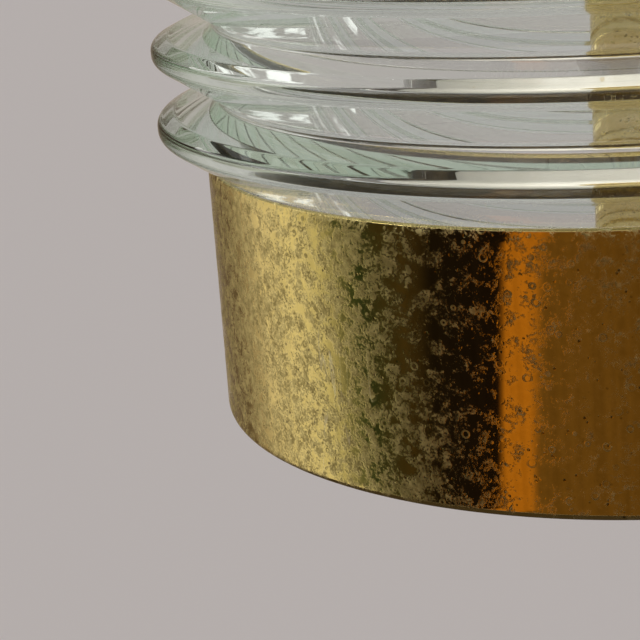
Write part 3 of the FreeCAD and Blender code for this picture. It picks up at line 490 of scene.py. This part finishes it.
GLASS_LOW, GLASS_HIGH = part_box("glass_cylinder")
LIFT = 0.08 * MM              # keeps the glass's ends off the felt rings
NECK = 72 * MM                # outer radius between the ribs
BORE = 68 * MM
TIP = 83.4 * MM               # the ribs' greatest radius
TIP_IN = 0.25 * MM            # room inside it for the waves
PITCH = 13.2 * MM
RISE = 4.2 * MM               # from a tip's height up to the top of the rib's root
GAP = 0.8 * MM                # flat between two ribs
NOSE_LOW, NOSE_HIGH = 1.2 * MM, 1.1 * MM
SHOULDER_IN, SHOULDER_HIGH = 3.4 * MM, 2.5 * MM
ROOT_ROUND, NOSE_ROUND_LOW, NOSE_ROUND_HIGH, SHOULDER_ROUND = 1.0 * MM, 1.5 * MM, 1.3 * MM, 2.0 * MM
END_ROUND = 0.4 * MM
RIBS = 26
FIRST_TIP = cup_high.z + 7.4 * MM
GLASS_SEGMENTS = 360
GLASS_WAVES = 0.12 * MM       # how far the blown surface wanders
WAVES_ROUND, WAVES_UP = 1.6, 55
GLASS_STRAIGHT, GLASS_NEAR = 2.0 * MM, 0.3 * MM


def ribbed_glass():
    """The clear cylinder: a smooth bore, and ribs outside.

    The ribs have nearly flat upper faces, steeper lower faces and round noses.
    """
    low = GLASS_LOW.z + LIFT
    high = GLASS_HIGH.z - LIFT
    outer = [(NECK, low)]
    radii = [END_ROUND]
    for rib in range(RIBS):
        tip = FIRST_TIP + rib * PITCH
        outer += [(NECK, tip - (PITCH - RISE) + GAP / 2), (TIP - TIP_IN, tip - NOSE_LOW),
                  (TIP - TIP_IN, tip + NOSE_HIGH), (TIP - SHOULDER_IN, tip + SHOULDER_HIGH),
                  (NECK, tip + RISE - GAP / 2)]
        radii += [ROOT_ROUND, NOSE_ROUND_LOW, NOSE_ROUND_HIGH, SHOULDER_ROUND, ROOT_ROUND]
    outer += [(NECK, high), (BORE, high), (BORE, low)]
    radii += [END_ROUND] * 3
    points = rounded(outer, radii, 5, closed=True)
    points = split_straights(points, GLASS_STRAIGHT, GLASS_NEAR)

    def waves(radius, height, angle):
        spot = Vector((math.cos(angle) * WAVES_ROUND, math.sin(angle) * WAVES_ROUND,
                       height * WAVES_UP))
        return noise.noise(spot) * GLASS_WAVES

    return lathe("glass_cylinder_visual", [(p.x, p.y) for p in points], GLASS_SEGMENTS, at_pole(0),
                 wobble=waves, materials=[GLASS])


glass = ribbed_glass()
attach(glass, "shade")
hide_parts("glass_cylinder")


# ---------------------------------------------------------------- spun brass cups

SHEET = 0.8 * MM
CUP_HEIGHT = 45.3 * MM
EDGE = 1.2 * MM               # rounding between wall and floor
LIP = 1.5 * MM                # the mouth leans in by LEAN over this height
LEAN = 0.35 * MM
LEAN_ROUND = 3.0 * MM
LIP_ROUND_OUT, LIP_ROUND_IN = 0.7 * MM, 0.1 * MM
RECESS = 57 * MM              # the floor is raised within this radius
RECESS_SLOPE = 2 * MM
RECESS_DEPTH = 2 * MM
RECESS_ROUND = 1.0 * MM
CUP_HOLE = 5.1 * MM
CUP_SEGMENTS = 512
CUP_STRAIGHT, CUP_NEAR = 3 * MM, 0.4 * MM
DENTS = 0.08 * MM
DENTS_ROUND, DENTS_UP = 2.2, 26
DENT_BIAS = 0.6               # keeps the dents inward


def spun_cup(node, foot, up):
    """A thin brass cup that stands on foot, floor painted cream inside, inner wall tarnish and
    painted shade.

    up is 1, or -1 for a cup with its mouth down.
    """
    inner = CUP_RADIUS - SHEET
    slope_end = RECESS + RECESS_SLOPE
    mouth = CUP_HEIGHT - LIP
    outside = [(CUP_HOLE, RECESS_DEPTH), (RECESS, RECESS_DEPTH), (slope_end, 0), (CUP_RADIUS, 0),
               (CUP_RADIUS, mouth), (CUP_RADIUS - LEAN, CUP_HEIGHT), (inner - LEAN, CUP_HEIGHT)]
    outside_radii = [0, RECESS_ROUND, RECESS_ROUND, EDGE, LEAN_ROUND, LIP_ROUND_OUT, LIP_ROUND_IN]
    inside = [(inner, mouth), (inner, SHEET), (slope_end, SHEET), (RECESS, RECESS_DEPTH + SHEET),
              (CUP_HOLE, RECESS_DEPTH + SHEET)]
    inside_radii = [0, EDGE - SHEET, RECESS_ROUND, RECESS_ROUND, 0]
    shell = rounded(outside + inside, outside_radii + inside_radii, 6)
    shell = split_straights(shell, CUP_STRAIGHT, CUP_NEAR)
    wall_start = max(i for i, p in enumerate(shell) if abs(p.y - mouth) < 1e-6)
    floor_start = 1 + max(i for i, p in enumerate(shell)
                          if p.y > EDGE + 0.1 * MM and p.x > RECESS)
    profile = [(p.x, foot + up * p.y) for p in shell]

    def dents(radius, height, angle):
        if radius < RECESS:
            return 0.0
        spot = Vector((math.cos(angle) * DENTS_ROUND, math.sin(angle) * DENTS_ROUND,
                       height * DENTS_UP))
        return (noise.noise(spot) - DENT_BIAS) * DENTS

    # Outside brass, inner wall dark brass (tarnish plus painted shade), floor cream paint.
    obj = lathe(node + "_visual", profile, CUP_SEGMENTS, at_pole(0), wobble=dents,
                materials=[BRASS, TARNISH_AND_SHADE, CREAM_PAINT], rows=(0, wall_start, floor_start))
    if up < 0:
        obj.data.flip_normals()
    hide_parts(node)
    return obj


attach(spun_cup("bottom_cup", CUP_BOTTOM, 1), "shade")
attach(spun_cup("top_cup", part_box("top_cup")[1].z, -1), "bracket")


# ---------------------------------------------------------------- filaments

STEM_LENGTH = 24 * MM
STEM_BORE, STEM_NARROW, STEM_RADIUS = 0.4 * MM, 1.5 * MM, 3.1 * MM
STEM_STRAIGHT = 9 * MM
STEM_ROUNDS = (0.6 * MM, 5 * MM, 0.5 * MM)
STEM_SEGMENTS = 32
WIRE = 0.30 * MM              # radii of the support wires and of the coil's wire
COIL_WIRE = 0.16 * MM
COIL_RADIUS = 1.1 * MM
COIL_PITCH = 1.0 * MM
COIL_STEPS = 10
SUPPORT = 2.2 * MM            # support wires' distance from the lamp's axis
SUPPORT_STEPS = 8
WIRE_IN_STEM = (3 * MM, 0.8 * MM)       # above the stem's foot, and from the axis
WIRE_UNDER_STEM = (1 * MM, 0.9 * MM)    # below the foot, and from the axis
WIRE_BEND = 4 * MM            # below the foot
HOOK = 1.2 * MM
COIL_TOP_DROP = 2 * MM        # below the foot
COIL_BOTTOM_LIFT = 0.6 * MM   # above the lowest place


def tube(points, radius, sides=6):
    """Vertices and faces of a round wire along points, with closed ends."""
    vertices, faces = [], []
    side = Vector((1, 0.3, 0.1)).normalized()
    for index, point in enumerate(points):
        ahead = points[min(index + 1, len(points) - 1)] - points[max(index - 1, 0)]
        ahead.normalize()
        side = (side - ahead * side.dot(ahead)).normalized()
        other = ahead.cross(side)
        for k in range(sides):
            angle = 2 * math.pi * k / sides
            vertices.append(point + (side * math.cos(angle) + other * math.sin(angle)) * radius)
    for ring in range(len(points) - 1):
        for k in range(sides):
            low, after = ring * sides, (k + 1) % sides
            faces.append((low + k, low + after, low + sides + after, low + sides + k))
    faces.append(tuple(range(sides - 1, -1, -1)))
    faces.append(tuple(len(vertices) - sides + k for k in range(sides)))
    return vertices, faces


def glass_stem(centre, foot, top):
    """Vertices and faces of a lamp's flared inner stem."""
    corners = [(STEM_BORE, foot), (STEM_NARROW, foot), (STEM_NARROW, foot + STEM_STRAIGHT),
               (STEM_RADIUS, top), (STEM_BORE, top)]
    outline = rounded(corners, [0, *STEM_ROUNDS, 0])
    flared = lathe("stem", [(p.x, p.y) for p in outline], STEM_SEGMENTS, centre)
    vertices = [v.co.copy() for v in flared.data.vertices]
    faces = [tuple(f.vertices) for f in flared.data.polygons]
    bpy.data.objects.remove(flared)
    return vertices, faces


def filament(number):
    """A lamp's flared glass stem, its two support wires and a long coil between them."""
    node = f"bulb_{number}_filament"
    low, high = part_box(node)
    centre = (low + high) / 2
    foot = high.z - STEM_LENGTH
    bottom = low.z + COIL_BOTTOM_LIFT
    top = foot - COIL_TOP_DROP

    def spot(height, across=0.0, along=0.0):
        return Vector((centre.x + across, centre.y + along, height))

    pieces = [glass_stem(centre, foot, high.z)]
    bend = foot - WIRE_BEND
    for side in (-1, 1):
        across = side * SUPPORT
        path = [spot(foot + WIRE_IN_STEM[0], side * WIRE_IN_STEM[1]),
                spot(foot - WIRE_UNDER_STEM[0], side * WIRE_UNDER_STEM[1]), spot(bend, across)]
        path += [spot(bottom + (bend - bottom) * k / SUPPORT_STEPS, across)
                 for k in reversed(range(SUPPORT_STEPS))]
        pieces.append(tube(path, WIRE))
    for height, side in ((bottom, 1), (top, -1)):
        arm = [spot(height, side * SUPPORT), spot(height, side * HOOK), spot(height, 0)]
        pieces.append(tube(arm, WIRE))
    steps = round((top - bottom) / COIL_PITCH * COIL_STEPS)
    coil = []
    for step in range(steps + 1):
        angle = 2 * math.pi * step / COIL_STEPS
        radius = COIL_RADIUS * min(1.0, step / COIL_STEPS, (steps - step) / COIL_STEPS)
        coil.append(spot(bottom + (top - bottom) * step / steps,
                         radius * math.cos(angle), radius * math.sin(angle)))
    pieces.append(tube(coil, COIL_WIRE, 4))

    vertices, faces, kinds = [], [], []
    for index, (points, loops) in enumerate(pieces):
        faces += [tuple(len(vertices) + corner for corner in loop) for loop in loops]
        vertices += points
        kinds += [int(index > 0)] * len(loops)
    mesh = new_mesh(node + "_visual", vertices, faces,
                    [SLOT_MATERIALS["lamp_glass"], SLOT_MATERIALS["filament"]])
    mesh.polygons.foreach_set("material_index", kinds)
    mesh.polygons.foreach_set("use_smooth", [True] * len(faces))
    mesh.update()
    obj = link(bpy.data.objects.new(node + "_visual", mesh))
    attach(obj, f"bulb_{number}")
    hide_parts(node)


for lamp in (1, 2, 3):
    filament(lamp)


# ---------------------------------------------------------------- studio

FLOOR_RADIUS, FLOOR_HEIGHT = 14, -1.5
FLOOR_COLOUR = (0.81, 0.765, 0.755)
WORLD_COLOUR = (0.80, 0.775, 0.76)
WORLD_STRENGTH = 0.70
WORLD_THROUGH_GLASS = 0.58
GROUND_RADIUS, GROUND_DROP = 1.5, 1.0
GROUND_COLOUR = (0.06, 0.045, 0.03)
FILL_WIDTH, FILL_POWER = 110 * MM, 0.003
GLOW_RADIUS, GLOW_POWER, GLOW_DROP = 30 * MM, 0.22, 12 * MM


def stage(obj, seen_in):
    """A card that shows only in reflections ("glossy") or only through glass ("transmission")."""
    obj.visible_camera = False
    obj.visible_shadow = False
    obj.visible_diffuse = False
    obj.visible_glossy = seen_in == "glossy"
    obj.visible_transmission = seen_in == "transmission"
    return obj


def glowing(name, colour, strength):
    m = Shader(name)
    m.show(m.add("ShaderNodeEmission", {"Color": colour, "Strength": strength}))
    return m.material


# The room card's upright bands lean: by EDGE_LEAN before LEAN_SHARES, by PALE_LEAN after them.
EDGE_LEAN, PALE_LEAN = 0.112, -0.10
LEAN_SHARES = (0.47, 0.61)
LEAN_PIVOT, LEAN_TOP = 0.42, 0.44      # shares of the card's height
WANDER = 0.012
STREAKS = 0.18


def room_glow(stops):
    """Light whose colour changes along a card, with faint streaks: stops are (share, colour)."""
    m = Shader("room_light")
    place = m.add("ShaderNodeUVMap").outputs["UV"]
    parts = m.add("ShaderNodeSeparateXYZ", {"Vector": place})
    wander = m.noise(1.0, 3, at=m.stretched(14, 1.6, 1, of=place))
    along = m.plus(parts.outputs[0], m.times(m.minus(wander, 0.5), WANDER))
    lean = m.minus(m.math("MINIMUM", parts.outputs[1], LEAN_TOP), LEAN_PIVOT)
    lean = m.times(lean, m.step(parts.outputs[0], *LEAN_SHARES, EDGE_LEAN, PALE_LEAN))
    ramp = m.add("ShaderNodeValToRGB", {"Fac": m.plus(along, lean)})
    elements = ramp.color_ramp.elements
    while len(elements) < len(stops):
        elements.new(0.5)
    for element, (share, colour) in zip(elements, stops):
        element.position = share
        element.color = (*colour, 1)
    texture = m.noise(1.0, 4, 0.65, at=m.stretched(90, 0.8, 1, of=place))
    strength = m.step(texture, 0.25, 0.75, 1 - STREAKS, 1 + STREAKS)
    m.show(m.add("ShaderNodeEmission", {"Color": ramp.outputs["Color"], "Strength": strength}))
    return m.material


def streak_glow(strength):
    """Bright level streaks with nothing between them."""
    m = Shader("streak_light")
    place = m.add("ShaderNodeUVMap").outputs["UV"]
    streaks = m.noise(1.0, 3, 0.6, at=m.stretched(3.5, 9, 1, of=place))
    light = m.add("ShaderNodeEmission", {"Color": (1.0, 1.0, 0.97), "Strength": strength})
    none = m.add("ShaderNodeBsdfTransparent")
    share = m.step(streaks, 0.44, 0.56)
    m.show(m.add("ShaderNodeMixShader", {0: share, 1: none.outputs[0], 2: light.outputs[0]}))
    return m.material


def curved_card(name, radius, angles, heights, material, seen_in="glossy"):
    """Part of an upright cylinder round the pole.

    The angles are in degrees, left of the direction to the camera, and the heights are above
    the bottom cup's underside.
    """
    start, end = angles
    steps = max(2, round(abs(end - start) / 2))
    vertices = []
    for step in range(steps + 1):
        angle = math.radians(start + (end - start) * step / steps)
        for height in heights:
            vertices.append(at_pole(CUP_BOTTOM + height,
                                    -radius * math.sin(angle), -radius * math.cos(angle)))
    faces = [(2 * i, 2 * i + 1, 2 * i + 3, 2 * i + 2) for i in range(steps)]
    mesh = new_mesh(name, vertices, faces, [material])
    layer = mesh.uv_layers.new(name="UVMap")
    for loop in mesh.loops:
        step, upper = divmod(loop.vertex_index, 2)
        layer.data[loop.index].uv = (step / steps, upper)
    return stage(link(bpy.data.objects.new(name, mesh)), seen_in)


def disc(name, sides, radius, place, material):
    bpy.ops.mesh.primitive_circle_add(vertices=sides, radius=radius, fill_type="NGON",
                                      location=place)
    obj = bpy.context.object
    obj.name = name
    obj.data.materials.append(material)
    return obj


def floor():
    paint = Shader("floor_paint").principled({"Base Color": FLOOR_COLOUR, "Roughness": 0.9})
    disc("floor", 96, FLOOR_RADIUS, (0, 0, FLOOR_HEIGHT), paint)


def under_card():
    """Dark ground that only the undersides reflect."""
    dark = glowing("dark_ground", GROUND_COLOUR, 1)
    stage(disc("under_card", 64, GROUND_RADIUS, at_pole(CUP_BOTTOM - GROUND_DROP), dark), "glossy")


def world():
    """Even light from all sides, a little darker where it comes through the glass."""
    made = bpy.data.worlds.new("studio")
    scene.world = made
    made.use_nodes = True
    back = made.node_tree.nodes["Background"]
    back.inputs["Color"].default_value = (*WORLD_COLOUR, 1)
    path = made.node_tree.nodes.new("ShaderNodeLightPath")
    dimmer = made.node_tree.nodes.new("ShaderNodeMapRange")
    dimmer.inputs["To Min"].default_value = WORLD_STRENGTH
    dimmer.inputs["To Max"].default_value = WORLD_THROUGH_GLASS
    made.node_tree.links.new(path.outputs["Is Transmission Ray"], dimmer.inputs["Value"])
    made.node_tree.links.new(dimmer.outputs["Result"], back.inputs["Strength"])


def inner_fill():
    """Two lights in the foot of the glass, seen only by dull surfaces inside the bottom cup."""
    fill = bpy.data.lights.new("inner_fill", "AREA")
    fill.shape = "DISK"
    fill.size = FILL_WIDTH
    fill.energy = FILL_POWER
    glow = bpy.data.lights.new("inner_glow", "POINT")
    glow.shadow_soft_size = GLOW_RADIUS
    glow.energy = GLOW_POWER
    for data, height in ((fill, cup_high.z), (glow, cup_high.z - GLOW_DROP)):
        light = link(bpy.data.objects.new(data.name, data))
        light.location = at_pole(height)
        light.visible_camera = False
        light.visible_glossy = False
        light.visible_transmission = False


floor()
under_card()
world()
inner_fill()

# The room that the brass reflects: degrees left of the direction to the camera, and linear colour.
ROOM = [
    (-75, (0.10, 0.050, 0.012)),
    (20, (0.16, 0.080, 0.018)),
    (22, (0.46, 0.170, 0.015)),
    (29.4, (0.46, 0.170, 0.015)),
    (29.7, (0.010, 0.006, 0.004)),
    (50, (0.012, 0.008, 0.005)),
    (58, (0.055, 0.036, 0.012)),
    (66, (0.050, 0.040, 0.016)),
    (74, (0.032, 0.047, 0.022)),
    (78, (0.060, 0.078, 0.034)),
    (82, (0.20, 0.205, 0.12)),
    (88, (0.66, 0.63, 0.44)),
    (95, (0.92, 0.87, 0.67)),
    (114, (0.90, 0.83, 0.65)),
    (124, (0.42, 0.35, 0.24)),
    (133, (0.13, 0.095, 0.055)),
    (150, (0.15, 0.108, 0.070)),
    (162, (0.42, 0.35, 0.28)),
    (180, (0.40, 0.36, 0.32)),
]
ROOM_START, ROOM_END = ROOM[0][0], ROOM[-1][0]
ROOM_STOPS = [((angle - ROOM_START) / (ROOM_END - ROOM_START), colour) for angle, colour in ROOM]
CARD_RADIUS, STREAK_RADIUS = 1.6, 1.2
CARD_HEIGHTS, WINDOW_HEIGHTS, STREAK_HEIGHTS = (-1.02, 0.75), (0.75, 2.6), (-0.55, -0.14)
WINDOW_ANGLES, SIDE_ANGLES, STREAK_ANGLES = (58, 108), (108, 150), (95, 145)
WINDOW_STRENGTH, SIDE_STRENGTH, STREAK_STRENGTH = 3.5, 1.6, 1.25

curved_card("room_card", CARD_RADIUS, (ROOM_START, ROOM_END), CARD_HEIGHTS,
            room_glow(ROOM_STOPS))
curved_card("streak_window", STREAK_RADIUS, STREAK_ANGLES, STREAK_HEIGHTS,
            streak_glow(STREAK_STRENGTH), "transmission")
curved_card("window", CARD_RADIUS, WINDOW_ANGLES, WINDOW_HEIGHTS,
            glowing("window_light", (1.0, 0.99, 0.96), WINDOW_STRENGTH))
curved_card("side_window", CARD_RADIUS, SIDE_ANGLES, WINDOW_HEIGHTS,
            glowing("side_light", (1.0, 0.97, 0.90), SIDE_STRENGTH))

# Rays cross many ribs, and total reflections inside them count as glossy.
BOUNCES = 32
CROSSINGS = 64                # transparent surfaces that a shadow ray may cross

scene.view_settings.view_transform = "Standard"
scene.cycles.max_bounces = BOUNCES
scene.cycles.transmission_bounces = BOUNCES
scene.cycles.glossy_bounces = BOUNCES
scene.cycles.transparent_max_bounces = CROSSINGS
